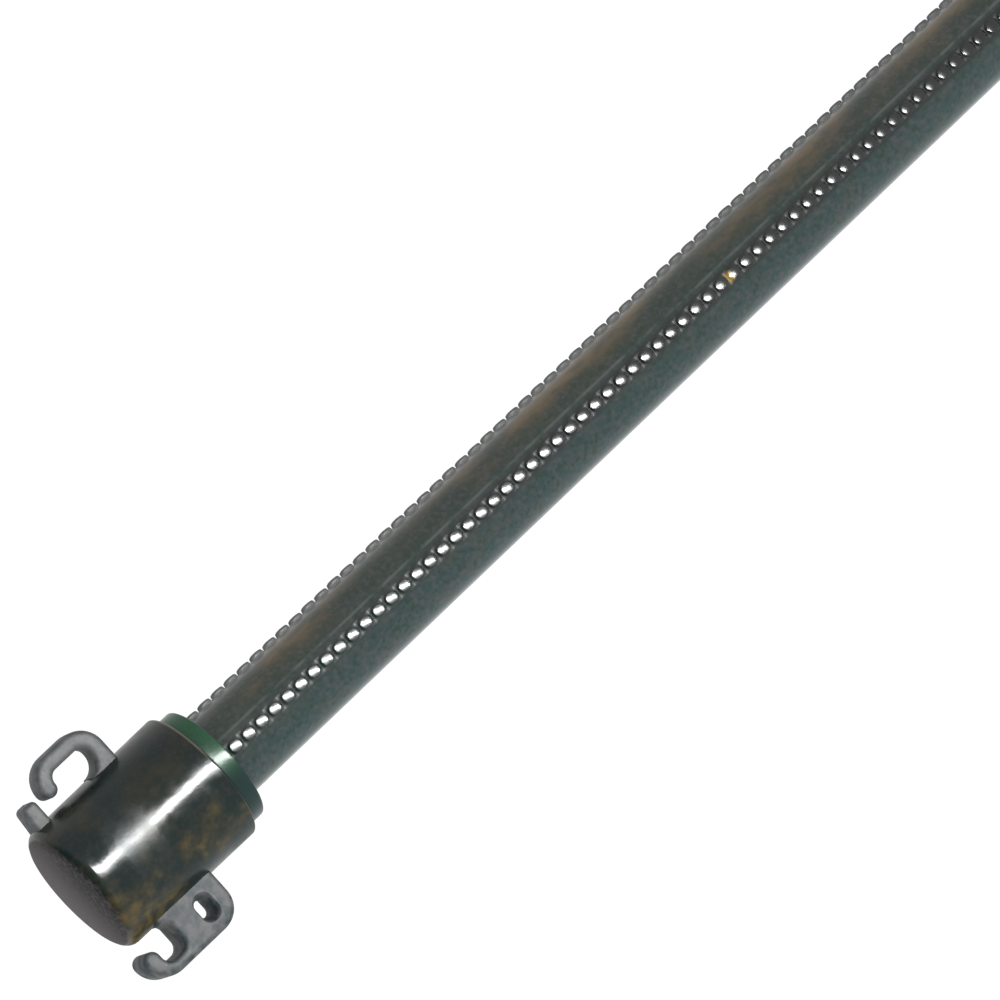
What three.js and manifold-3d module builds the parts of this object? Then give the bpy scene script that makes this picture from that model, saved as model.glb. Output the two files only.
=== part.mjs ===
// A plastic-coated steel plant stake with a push-on cap that carries twine hooks.
//
// Millimetres. The stake stands along +Z, and the origin is on its axis at the soil line.
// On the cap, the open hook and its guard peg point along +X and the eye lug along -X.

import * as THREE from "three";
import { mergeVertices } from "three/addons/utils/BufferGeometryUtils.js";
import Module from "manifold-3d";

const wasm = await Module();
wasm.setup();

// Stake
const STAKE_LENGTH = 900; // from the point of the spike to the crown of the cap
const BURIED_LENGTH = 200; // from the point of the spike to the soil line
const STAKE_DIAMETER = 16; // over the jacket, between the bump rows
const JACKET_WALL = 0.8;
const TUBE_WALL = 0.6;

// Rows of bumps along the jacket
const BUMP_ROWS = 3; // the side towards the eye lug is plain
const ROW_SPACING = THREE.MathUtils.degToRad(90);
const ROW_TURN = THREE.MathUtils.degToRad(4); // from the open hook to the middle row
const BUMP_PITCH = 3.1; // each bump starts where the last one ends
const BUMP_HEIGHT = 0.85;
const BUMP_WIDTH = 2.4; // round the stake
const CREST_WIDTH = 1.2; // round the stake, at the top of a bump
const CREST_LENGTH = 1.7; // along the stake, at the top of a bump
const PLAIN_END = 2; // jacket left without bumps at each end, at the least

// Spike pressed into the foot of the tube
const SPIKE_LENGTH = 45; // from the point to the shoulder under the tube
const SPIKE_RIM = 5; // straight band below the shoulder
const SPIKE_POINT_RADIUS = 1.2;
const SHANK_LENGTH = 30;
const SHANK_CHAMFER = 1.5;

// Cap
const CAP_HEIGHT = 29.3;
const CAP_MOUTH_DIAMETER = 25.6;
const CAP_CROWN_DIAMETER = 25.3; // where the drafted side meets the rounded edge
const CAP_EDGE_RADIUS = 2;
const MOUTH_CHAMFER = 0.4;
const CROWN_WALL = 2.4;

// Collar bush in the mouth of the cap
const FLANGE_DIAMETER = 22.9;
const FLANGE_HEIGHT = 3;
const FLANGE_CHAMFER = 0.3;
const SLEEVE_WALL = 1.2;
const SLEEVE_HEIGHT = 12;

// Open hook. Heights are above the mouth of the cap.
const HOOK_THICKNESS = 6;
const HOOK_STRAP = 3;
const HOOK_FOOT = 9;
const HOOK_HEIGHT = 13.9;
const HOOK_LOOP = 5; // clear width from the cap to the strap
const HOOK_MOUTH = 1.8; // from the tip to the cap
const HOOK_CORNER = 4.7; // outer corners of the strap
const HOOK_FILLET = 3; // between the foot of the hook and the cap

// Guard peg over the open hook
const PEG_FOOT = 24.6;
const PEG_HEIGHT = 3.4;
const PEG_LENGTH = 4;
const PEG_DROOP = 0.5; // fall of the peg's top towards its end
const PEG_CORNER = 1;

// Eye lug: an eye below, and an upper hook that opens towards the crown
const LUG_THICKNESS = 9;
const LUG_STRAP = 2.2;
const LUG_FOOT = 10.7;
const LUG_CORNER = 4.6; // outer corners of the strap
const EYE_SILL = 3; // material under the eye
const EYE_HEIGHT = 3.5;
const EYE_WIDTH = 4.5;
const EYE_CORNER = 1.6;
const EYE_WAIST = 0.5; // size of the eye at mid thickness, as a share of its size at the faces
const LUG_BRIDGE = 4.8; // between the eye and the upper hook
const UPPER_HOOK_HEIGHT = 4.7;
const UPPER_HOOK_LOOP = 5.8; // clear width from the cap to the strap
const UPPER_HOOK_CORNER = 1.7;
const UPPER_TIP = 3.2; // thickness of the tip
const UPPER_MOUTH = 1.9; // from the tip to the cap

const HOOK_EDGE = 0.8; // chamfer along the edges of the hooks
const ROOT_DEPTH = 1.4; // how far each root runs into the wall of the cap

// Clearances
const SEAT_GAP = 0.3; // between two pieces that rest on each other
const RADIAL_GAP = 0.3; // between a piece and the bore round it

const ROUND_FACETS = 40;
const JACKET_FACETS = 6; // between two neighbouring bump rows
const JACKET_STATIONS = 15; // along the plain part of the jacket

// Sizes that follow from the ones above
const jacketRadius = STAKE_DIAMETER / 2;
const jacketBore = jacketRadius - JACKET_WALL;
const tubeRadius = jacketBore - RADIAL_GAP;
const tubeBore = tubeRadius - TUBE_WALL;
const shankRadius = tubeBore - RADIAL_GAP;
const socketRadius = jacketRadius + BUMP_HEIGHT + RADIAL_GAP;
const sleeveRadius = socketRadius + SLEEVE_WALL;
const sleeveSeatRadius = sleeveRadius + RADIAL_GAP;
const capMouthRadius = CAP_MOUTH_DIAMETER / 2;
const capCrownRadius = CAP_CROWN_DIAMETER / 2;

const pointLevel = -BURIED_LENGTH;
const crownLevel = STAKE_LENGTH - BURIED_LENGTH;
const mouthLevel = crownLevel - CAP_HEIGHT;
const ceilingLevel = crownLevel - CROWN_WALL;
const tubeTop = ceilingLevel - SEAT_GAP;
const shoulderLevel = pointLevel + SPIKE_LENGTH;
const tubeFoot = shoulderLevel + SEAT_GAP;

const LEFT = Math.PI;
const UP = Math.PI / 2;
const DOWN = -Math.PI / 2;

function polar(radius, angle, z) {
  return new THREE.Vector3(radius * Math.cos(angle), radius * Math.sin(angle), z);
}

// Turns a closed mesh into a solid, without the slivers that a revolve leaves on its axis.
function toSolid(geometry) {
  geometry.deleteAttribute("normal");
  geometry.deleteAttribute("uv");
  const merged = mergeVertices(geometry, 1e-4);
  const corners = [];
  for (let i = 0; i < merged.index.count; i += 3) {
    const a = merged.index.getX(i);
    const b = merged.index.getX(i + 1);
    const c = merged.index.getX(i + 2);
    if (a !== b && b !== c && c !== a) {
      corners.push(a, b, c);
    }
  }
  const mesh = new wasm.Mesh({
    numProp: 3,
    vertProperties: merged.attributes.position.array,
    triVerts: Uint32Array.from(corners),
  });
  return new wasm.Manifold(mesh);
}

function toNode(name, solid, look) {
  const mesh = solid.getMesh();
  const geometry = new THREE.BufferGeometry();
  geometry.setAttribute("position", new THREE.BufferAttribute(mesh.vertProperties, 3));
  geometry.setIndex(new THREE.BufferAttribute(mesh.triVerts, 1));
  geometry.computeVertexNormals();
  const node = new THREE.Mesh(geometry, new THREE.MeshStandardMaterial(look));
  node.name = name;
  return node;
}

// Revolves an outline of radius and height about the stake's axis.
function revolve(outline) {
  const geometry = new THREE.LatheGeometry(outline.getPoints(3), ROUND_FACETS);
  geometry.rotateX(UP);
  return toSolid(geometry);
}

// Extrudes an outline of radius and height, square to the radius and centred on it.
function lug(outline, thickness) {
  const geometry = new THREE.ExtrudeGeometry(outline, {
    depth: thickness - 2 * HOOK_EDGE,
    bevelThickness: HOOK_EDGE,
    bevelSize: HOOK_EDGE,
    bevelOffset: -HOOK_EDGE,
    bevelSegments: 1,
    curveSegments: 4,
  });
  geometry.translate(0, 0, HOOK_EDGE - thickness / 2);
  geometry.rotateX(UP);
  return toSolid(geometry);
}

// Where the root of a lug starts, inside the wall of the cap over the lug's whole thickness.
function rootRadius(thickness) {
  return Math.sqrt(capCrownRadius ** 2 - (thickness / 2) ** 2) - ROOT_DEPTH;
}

// Closes the surface between two lines of points that both rise along the stake.
// The second line lies further round, counter-clockwise from above.
function zip(triangles, first, second) {
  let i = 0;
  let j = 0;
  while (i < first.length - 1 || j < second.length - 1) {
    const firstDone = i === first.length - 1;
    const secondDone = j === second.length - 1;
    if (secondDone || (!firstDone && first[i + 1].z <= second[j + 1].z)) {
      triangles.push(first[i], second[j], first[i + 1]);
      i += 1;
    } else {
      triangles.push(first[i], second[j], second[j + 1]);
      j += 1;
    }
  }
}

function quad(triangles, a, b, c, d) {
  triangles.push(a, b, c, a, c, d);
}

// One flat-topped bump on the four corners of its foot.
function addBump(triangles, angle, low, high) {
  const middle = (low[0].z + high[0].z) / 2;
  const crestRadius = jacketRadius + BUMP_HEIGHT;
  const halfCrest = Math.asin(CREST_WIDTH / 2 / crestRadius);
  const foot = [low[0], low[1], high[1], high[0]];
  const crest = [
    polar(crestRadius, angle - halfCrest, middle - CREST_LENGTH / 2),
    polar(crestRadius, angle + halfCrest, middle - CREST_LENGTH / 2),
    polar(crestRadius, angle + halfCrest, middle + CREST_LENGTH / 2),
    polar(crestRadius, angle - halfCrest, middle + CREST_LENGTH / 2),
  ];
  for (let k = 0; k < 4; k += 1) {
    const next = (k + 1) % 4;
    quad(triangles, foot[k], foot[next], crest[next], crest[k]);
  }
  quad(triangles, ...crest);
}

// A line of points up the jacket, with a point at each of the given heights.
function riser(radius, angle, heights) {
  return heights.map((z) => polar(radius, angle, z));
}

function buildJacket() {
  const length = tubeTop - tubeFoot;
  const bumps = Math.floor((length - 2 * PLAIN_END) / BUMP_PITCH);
  const firstBump = tubeFoot + (length - bumps * BUMP_PITCH) / 2;
  const rowHeights = [tubeFoot];
  for (let n = 0; n <= bumps; n += 1) {
    rowHeights.push(firstBump + n * BUMP_PITCH);
  }
  rowHeights.push(tubeTop);
  const plainHeights = [];
  for (let n = 0; n <= JACKET_STATIONS; n += 1) {
    plainHeights.push(tubeFoot + (length * n) / JACKET_STATIONS);
  }

  // Lines up the jacket, in order round it. Each row of bumps lies between two of them.
  const halfRow = Math.asin(BUMP_WIDTH / 2 / jacketRadius);
  const lines = [];
  for (let row = 0; row < BUMP_ROWS; row += 1) {
    const rowAngle = ROW_TURN + (row - 1) * ROW_SPACING;
    const last = row === BUMP_ROWS - 1;
    const toNextRow = last ? 2 * Math.PI - row * ROW_SPACING : ROW_SPACING;
    const facets = Math.round((JACKET_FACETS * toNextRow) / ROW_SPACING);
    const step = (toNextRow - 2 * halfRow) / facets;
    lines.push({ angle: rowAngle - halfRow, heights: rowHeights, bumps: true });
    for (let facet = 0; facet < facets; facet += 1) {
      const heights = facet === 0 ? rowHeights : plainHeights;
      lines.push({ angle: rowAngle + halfRow + facet * step, heights, bumps: false });
    }
  }

  const triangles = [];
  for (let i = 0; i < lines.length; i += 1) {
    const line = lines[i];
    const nextLine = lines[(i + 1) % lines.length];
    const here = riser(jacketRadius, line.angle, line.heights);
    const beyond = riser(jacketRadius, nextLine.angle, nextLine.heights);
    if (line.bumps) {
      const rowAngle = line.angle + halfRow;
      quad(triangles, here[0], beyond[0], beyond[1], here[1]);
      for (let k = 1; k <= bumps; k += 1) {
        addBump(triangles, rowAngle, [here[k], beyond[k]], [here[k + 1], beyond[k + 1]]);
      }
      quad(triangles, here.at(-2), beyond.at(-2), beyond.at(-1), here.at(-1));
    } else {
      zip(triangles, here, beyond);
    }
    const inside = riser(jacketBore, line.angle, [tubeFoot, tubeTop]);
    const insideNext = riser(jacketBore, nextLine.angle, [tubeFoot, tubeTop]);
    zip(triangles, insideNext, inside);
    quad(triangles, inside[0], insideNext[0], beyond[0], here[0]);
    quad(triangles, here.at(-1), beyond.at(-1), insideNext[1], inside[1]);
  }
  return toSolid(new THREE.BufferGeometry().setFromPoints(triangles));
}

function buildTube() {
  const outline = new THREE.Path();
  outline.moveTo(tubeBore, tubeFoot);
  outline.lineTo(tubeRadius, tubeFoot);
  outline.lineTo(tubeRadius, tubeTop);
  outline.lineTo(tubeBore, tubeTop);
  outline.lineTo(tubeBore, tubeFoot);
  return revolve(outline);
}

function buildSpike() {
  const slope = Math.atan2(jacketRadius, SPIKE_LENGTH - SPIKE_RIM);
  const shankTop = shoulderLevel + SHANK_LENGTH;
  const outline = new THREE.Path();
  outline.absarc(0, pointLevel + SPIKE_POINT_RADIUS, SPIKE_POINT_RADIUS, DOWN, -slope, false);
  outline.lineTo(jacketRadius, shoulderLevel - SPIKE_RIM);
  outline.lineTo(jacketRadius, shoulderLevel);
  outline.lineTo(shankRadius, shoulderLevel);
  outline.lineTo(shankRadius, shankTop - SHANK_CHAMFER);
  outline.lineTo(shankRadius - SHANK_CHAMFER, shankTop);
  outline.lineTo(0, shankTop);
  return revolve(outline);
}

function buildCollar() {
  const flangeRadius = FLANGE_DIAMETER / 2;
  const flangeTop = mouthLevel - SEAT_GAP;
  const flangeFoot = flangeTop - FLANGE_HEIGHT;
  const sleeveTop = mouthLevel + SLEEVE_HEIGHT;
  const outline = new THREE.Path();
  outline.moveTo(socketRadius, flangeFoot);
  outline.lineTo(flangeRadius - FLANGE_CHAMFER, flangeFoot);
  outline.lineTo(flangeRadius, flangeFoot + FLANGE_CHAMFER);
  outline.lineTo(flangeRadius, flangeTop);
  outline.lineTo(sleeveRadius, flangeTop);
  outline.lineTo(sleeveRadius, sleeveTop);
  outline.lineTo(socketRadius, sleeveTop);
  outline.lineTo(socketRadius, flangeFoot);
  return revolve(outline);
}

function capBody() {
  const edgeLevel = crownLevel - CAP_EDGE_RADIUS;
  const edgeCentre = capCrownRadius - CAP_EDGE_RADIUS;
  const outline = new THREE.Path();
  outline.moveTo(0, mouthLevel);
  outline.lineTo(capMouthRadius - MOUTH_CHAMFER, mouthLevel);
  outline.lineTo(capMouthRadius, mouthLevel + MOUTH_CHAMFER);
  outline.lineTo(capCrownRadius, edgeLevel);
  outline.absarc(edgeCentre, edgeLevel, CAP_EDGE_RADIUS, 0, UP, false);
  outline.lineTo(0, crownLevel);
  return revolve(outline);
}

// The room inside the cap: a seat for the sleeve, then a socket for the stake.
function capSocket() {
  const seatTop = mouthLevel + SLEEVE_HEIGHT + SEAT_GAP;
  const outline = new THREE.Path();
  outline.moveTo(0, mouthLevel - 1);
  outline.lineTo(sleeveSeatRadius, mouthLevel - 1);
  outline.lineTo(sleeveSeatRadius, seatTop);
  outline.lineTo(socketRadius, seatTop);
  outline.lineTo(socketRadius, ceilingLevel);
  outline.lineTo(0, ceilingLevel);
  return revolve(outline);
}

// A strap that leaves the cap, turns up and curls back towards it.
function openHook() {
  const root = rootRadius(HOOK_THICKNESS);
  const foot = mouthLevel + HOOK_FOOT;
  const top = foot + HOOK_HEIGHT;
  const floor = foot + HOOK_STRAP;
  const roof = top - HOOK_STRAP;
  const wall = capMouthRadius;
  const inside = wall + HOOK_LOOP;
  const outside = inside + HOOK_STRAP;
  const tip = HOOK_STRAP / 2;
  const tipCentre = wall + HOOK_MOUTH + tip;
  const corner = Math.min(HOOK_CORNER, outside - tipCentre);
  const turn = outside - corner;
  const bend = corner - HOOK_STRAP;
  const outline = new THREE.Shape();
  outline.moveTo(root, foot);
  outline.lineTo(turn, foot);
  outline.absarc(turn, foot + corner, corner, DOWN, 0, false);
  outline.absarc(turn, top - corner, corner, 0, UP, false);
  outline.absarc(tipCentre, top - tip, tip, UP, 3 * UP, false);
  outline.absarc(turn, roof - bend, bend, UP, 0, true);
  outline.absarc(turn, floor + bend, bend, 0, DOWN, true);
  outline.absarc(wall + HOOK_FILLET, floor + HOOK_FILLET, HOOK_FILLET, DOWN, -LEFT, true);
  outline.lineTo(root, floor + HOOK_FILLET);
  return lug(outline, HOOK_THICKNESS);
}

function guardPeg() {
  const root = rootRadius(HOOK_THICKNESS);
  const foot = mouthLevel + PEG_FOOT;
  const end = capMouthRadius + PEG_LENGTH;
  const endTop = foot + PEG_HEIGHT - PEG_DROOP;
  const corner = Math.min(PEG_CORNER, (PEG_HEIGHT - PEG_DROOP) / 2);
  const outline = new THREE.Shape();
  outline.moveTo(root, foot);
  outline.lineTo(end - corner, foot);
  outline.absarc(end - corner, foot + corner, corner, DOWN, 0, false);
  outline.absarc(end - corner, endTop - corner, corner, 0, UP, false);
  outline.lineTo(root, foot + PEG_HEIGHT);
  return lug(outline, HOOK_THICKNESS);
}

function eyeLug() {
  const root = rootRadius(LUG_THICKNESS);
  const foot = mouthLevel + LUG_FOOT;
  const eyeFoot = foot + EYE_SILL;
  const eyeTop = eyeFoot + EYE_HEIGHT;
  const floor = eyeTop + LUG_BRIDGE;
  const roof = floor + UPPER_HOOK_HEIGHT;
  const top = roof + UPPER_TIP;
  const wall = capMouthRadius;
  const inside = wall + UPPER_HOOK_LOOP;
  const outside = inside + LUG_STRAP;
  const tip = UPPER_TIP / 2;
  const tipCentre = wall + UPPER_MOUTH + tip;
  const corner = Math.min(LUG_CORNER, outside - tipCentre);
  const turn = outside - corner;
  const bend = UPPER_HOOK_CORNER;
  const outline = new THREE.Shape();
  outline.moveTo(root, foot);
  outline.lineTo(turn, foot);
  outline.absarc(turn, foot + corner, corner, DOWN, 0, false);
  outline.absarc(turn, top - corner, corner, 0, UP, false);
  outline.absarc(tipCentre, top - tip, tip, UP, 3 * UP, false);
  outline.absarc(inside - bend, roof - bend, bend, UP, 0, true);
  outline.absarc(inside - bend, floor + bend, bend, 0, DOWN, true);
  outline.absarc(wall + bend, floor + bend, bend, DOWN, -LEFT, true);
  outline.lineTo(root, floor + bend);

  const solid = lug(outline, LUG_THICKNESS);
  const eye = eyeHole().translate([inside - EYE_WIDTH / 2, 0, (eyeFoot + eyeTop) / 2]);
  return solid.subtract(eye).rotate([0, 0, 180]);
}

// The room in the eye, which narrows from both faces of the lug to a waist between them.
function eyeHole() {
  const endX = EYE_WIDTH / 2 - EYE_CORNER;
  const endZ = EYE_HEIGHT / 2 - EYE_CORNER;
  const outline = new THREE.Shape();
  outline.absarc(endX, -endZ, EYE_CORNER, DOWN, 0, false);
  outline.absarc(endX, endZ, EYE_CORNER, 0, UP, false);
  outline.absarc(-endX, endZ, EYE_CORNER, UP, LEFT, false);
  outline.absarc(-endX, -endZ, EYE_CORNER, LEFT, 3 * UP, false);
  const waist = outline.getPoints(4).map((point) => [point.x * EYE_WAIST, point.y * EYE_WAIST]);
  const flare = 1 / EYE_WAIST;
  const half = wasm.Manifold.extrude([waist], LUG_THICKNESS / 2, 0, 0, [flare, flare]);
  return half.rotate([90, 0, 0]).add(half.rotate([-90, 0, 0]));
}

function buildCap() {
  const moulded = capBody().add(openHook()).add(guardPeg()).add(eyeLug());
  return moulded.subtract(capSocket());
}

const darkPlastic = { color: 0x2f3a3a, roughness: 0.28, metalness: 0 };
const greenPlastic = { color: 0x44684f, roughness: 0.42, metalness: 0 };
const jacketPlastic = { color: 0x4a5850, roughness: 0.4, metalness: 0 };
const bareSteel = { color: 0xa3a6a8, roughness: 0.35, metalness: 1 };

const stake = new THREE.Group();
stake.name = "plant_stake";
stake.add(toNode("steel_tube", buildTube(), bareSteel));
stake.add(toNode("plastic_jacket", buildJacket(), jacketPlastic));
stake.add(toNode("ground_spike", buildSpike(), jacketPlastic));
stake.add(toNode("collar_bush", buildCollar(), greenPlastic));
stake.add(toNode("hook_cap", buildCap(), darkPlastic));

export default stake;
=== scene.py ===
import math

import bmesh
import bpy
from mathutils import Matrix, Quaternion, Vector


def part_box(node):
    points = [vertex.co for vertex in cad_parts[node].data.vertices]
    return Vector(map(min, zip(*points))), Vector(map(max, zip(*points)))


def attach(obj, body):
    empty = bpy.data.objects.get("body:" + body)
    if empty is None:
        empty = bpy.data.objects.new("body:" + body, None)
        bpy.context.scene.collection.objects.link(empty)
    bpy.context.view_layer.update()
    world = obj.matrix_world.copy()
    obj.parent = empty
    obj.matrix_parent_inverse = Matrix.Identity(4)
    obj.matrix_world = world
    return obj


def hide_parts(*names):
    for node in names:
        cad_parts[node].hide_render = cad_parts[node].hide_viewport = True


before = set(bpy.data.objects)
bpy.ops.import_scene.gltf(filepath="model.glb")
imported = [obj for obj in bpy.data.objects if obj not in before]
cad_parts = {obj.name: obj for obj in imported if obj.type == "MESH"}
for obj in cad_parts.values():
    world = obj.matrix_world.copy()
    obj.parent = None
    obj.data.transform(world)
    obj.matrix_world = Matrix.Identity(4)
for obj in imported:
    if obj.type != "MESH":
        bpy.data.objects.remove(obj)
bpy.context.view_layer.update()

# A plastic-coated plant stake with a push-on cap that carries twine hooks.
# Sizes are in millimetres and become metres in the meshes. The stake stands along +Z.
MM = 0.001
LEFT, UP, DOWN = math.pi, math.pi / 2, -math.pi / 2
ON_AXIS = 1e-6  # a turned path that comes this near to the axis meets it
CORNER_STEPS = 5  # in a rounded corner of a turned path
TURNED_SEGMENTS = 96  # round the collar and the spike
SHARP_ANGLE = math.radians(40)

# Jacket and its rows of bumps
JACKET_RADIUS = 8.0
JACKET_BORE = 7.2
JACKET_EDGE = 0.15
JACKET_COLUMNS = 4  # on each side of a bump row
PLAIN_COLUMNS = 8  # across the side without bumps
PLAIN_END = 2.0
BUMP_ROWS = 3
ROW_SPACING = math.radians(90)
FIRST_ROW = math.radians(-86)
BUMP_PITCH = 3.1
BUMP_HEIGHT = 0.85
BUMP_HALF_WIDTH = 1.2
BUMP_HALF_LENGTH = 1.45
BUMP_SQUARENESS = 2.5
BUMP_SIDES = 12
# The rings of a bump as shares of its width, its length and its height
BUMP_RINGS = ((1.0, 1.0, 0.0), (0.93, 0.95, 0.52), (0.82, 0.88, 0.92), (0.62, 0.66, 1.0))
BUMP_FALL = 0.24  # of the crest towards its two ends, as a share of its height
CREST_FLATNESS = 0.6  # 0 follows the round of the jacket, 1 is flat across
HEIGHT_SCATTER = 0.05
SCATTER_SEED = 7
PATCH_HALF_WIDTH = 1.45
BORDER_SHARE = 0.9  # of a patch's half size: a point past it is on the border
CREVICE_FALL = 1.15  # of the crevice value up the side of a bump
PATCH_WELD = 0.02
COLUMN_WELD = 0.01
END_WELD = 0.001
END_MARGIN = 0.1  # past the rows, where the plain ends begin
END_SHARP_ANGLE = math.radians(30)

# Cap, from its mouth up to its crown
CAP_MOUTH_RADIUS = 12.8
CAP_CROWN_RADIUS = 12.65
CAP_EDGE_RADIUS = 2.1
CAP_HEIGHT = 29.3
CROWN_RISE = 0.2  # of the middle of the crown
CROWN_FALL = 0.35  # from the middle of the crown to its edge
MOUTH_EDGE = 0.35
CROWN_WALL = 2.4
SOCKET_RADIUS = 9.15
SLEEVE_SEAT_RADIUS = 10.65
SLEEVE_SEAT_HEIGHT = 12.3
SEAT_EDGE = 0.2
SEAT_CLEARANCE = 0.3  # between the mouth and the flange of the collar
CEILING_EDGE = 0.5
DOME_REACHES = (0, 2, 4, 6, 8, 10)
CAP_SEGMENTS = 128
CAP_RING_STEP = 1.2
CAP_WELD = 0.02
CAP_SLIVER = 0.01

# Collar bush in the mouth of the cap
FLANGE_RADIUS = 11.45
FLANGE_HEIGHT = 3.0
FLANGE_EDGE = 0.35
FLANGE_TOP_EDGE = 0.15
SLEEVE_RADIUS = 10.35
SLEEVE_EDGE = 0.3
BORE_EDGE = 0.4
BORE_START = 2.0  # below the top of the sleeve, where the turned path starts and ends

# Hooks on the cap: heights are above the mouth, reaches from the axis
ROOT_REACH = 10.72
HOOK_REACH = 20.8
HOOK_MARGIN = 0.1  # past the wall of the cap, where the faces of a hook begin
ARC_STEP = math.radians(9)
EDGE_STEPS = 3  # across a rounded edge
LUG_WELD = 0.0005
HOOK_THICKNESS = 6.0
HOOK_EDGE = 1.0
HOOK_STRAP = 3.0
HOOK_FOOT = 9.0
HOOK_TOP = 22.9
HOOK_CORNER = 4.7
HOOK_TIP_REACH = 16.1
HOOK_FILLET = 3.0
PEG_EDGE = 0.85
PEG_FOOT = 24.6
PEG_TOP = 28.0
PEG_END_TOP = 27.5
PEG_REACH = 16.8
PEG_CORNER = 1.0
LUG_THICKNESS = 9.0
LUG_EDGE = 1.0
LUG_FOOT = 10.7
LUG_TOP = 29.9
LUG_CORNER = 4.5
LUG_INSIDE = 18.6
UPPER_FLOOR = 22.0
UPPER_ROOF = 26.7
UPPER_BEND = 1.7
UPPER_TIP_REACH = 16.3
EYE_REACH = 15.95
EYE_LEVEL = 15.45
EYE_HALF_WIDTH = 2.5
EYE_HALF_HEIGHT = 1.75
EYE_CORNER = 1.6
# How wide the eye is at a share of the way from mid thickness to a face of the lug
EYE_FLARE = ((0.0, 0.62), (0.3, 0.66), (0.6, 0.77), (0.85, 0.92), (0.97, 1.03), (1.06, 1.22))

# Spike in the foot of the tube
SPIKE_RIM = 5.0
SPIKE_RIM_ROUNDING = 2.0
SPIKE_TIP_RADIUS = 1.08
SPIKE_TIP_EDGE = 0.6
SPIKE_EDGE = 0.4
SHANK_RADIUS = 6.0
SHANK_CHAMFER = 1.5
SHANK_LENGTH = 30.0


# Meshes

def new_piece(name, mesh):
    piece = bpy.data.objects.new(name, mesh)
    bpy.context.scene.collection.objects.link(piece)
    return piece


def evaluated_mesh(piece):
    graph = bpy.context.evaluated_depsgraph_get()
    return bpy.data.meshes.new_from_object(piece.evaluated_get(graph))


def finish_mesh(bm, name):
    mesh = bpy.data.meshes.new(name)
    bm.to_mesh(mesh)
    bm.free()
    mesh.shade_smooth()
    mesh.set_sharp_from_angle(angle=SHARP_ANGLE)
    return mesh


def rounded_path(corners):
    """A path of (radius, height) points with the corners rounded off.

    Each corner is (radius, height, rounding).
    """
    path = []
    for i, (x, z, rounding) in enumerate(corners):
        here = Vector((x, z))
        if rounding == 0 or i in (0, len(corners) - 1):
            path.append(here)
            continue
        before = (Vector(corners[i - 1][:2]) - here).normalized()
        after = (Vector(corners[i + 1][:2]) - here).normalized()
        half = before.angle(after) / 2
        reach = rounding / math.tan(half)
        centre = here + (before + after).normalized() * (rounding / math.sin(half))
        start = here + before * reach - centre
        end = here + after * reach - centre
        sweep = start.angle_signed(end)
        for k in range(CORNER_STEPS + 1):
            turned = start.copy()
            turned.rotate(Matrix.Rotation(-sweep * k / CORNER_STEPS, 2))
            path.append(centre + turned)
    return path


def stepped_path(path, step):
    """The path with its long straight runs cut into steps."""
    cut = [path[0]]
    for a, b in zip(path, path[1:]):
        count = max(1, math.ceil((b - a).length / step))
        cut.extend(a.lerp(b, k / count) for k in range(1, count + 1))
    return cut


def revolved(path, segments, closed):
    """A surface turned about the stake's axis from a path of (radius, height) points."""
    bm = bmesh.new()
    rings = []
    for radius, height in path:
        count = segments if radius > ON_AXIS else 1
        ring = []
        for k in range(count):
            turn = 2 * math.pi * k / segments
            spot = (radius * math.cos(turn), radius * math.sin(turn), height)
            ring.append(bm.verts.new(Vector(spot) * MM))
        rings.append(ring)
    if closed:
        rings.append(rings[0])
    for low, high in zip(rings, rings[1:]):
        for k in range(segments):
            n = (k + 1) % segments
            corners = list(dict.fromkeys((
                low[k % len(low)], low[n % len(low)], high[n % len(high)], high[k % len(high)],
            )))
            if len(corners) > 2:
                bm.faces.new(corners)
    bmesh.ops.recalc_face_normals(bm, faces=bm.faces)
    return bm


# Nodes

def wire(links, value, plug):
    """Links a socket to the plug, or sets a plain value on it."""
    if isinstance(value, bpy.types.NodeSocket):
        links.new(value, plug)
    else:
        plug.default_value = value


# Jacket

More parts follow.
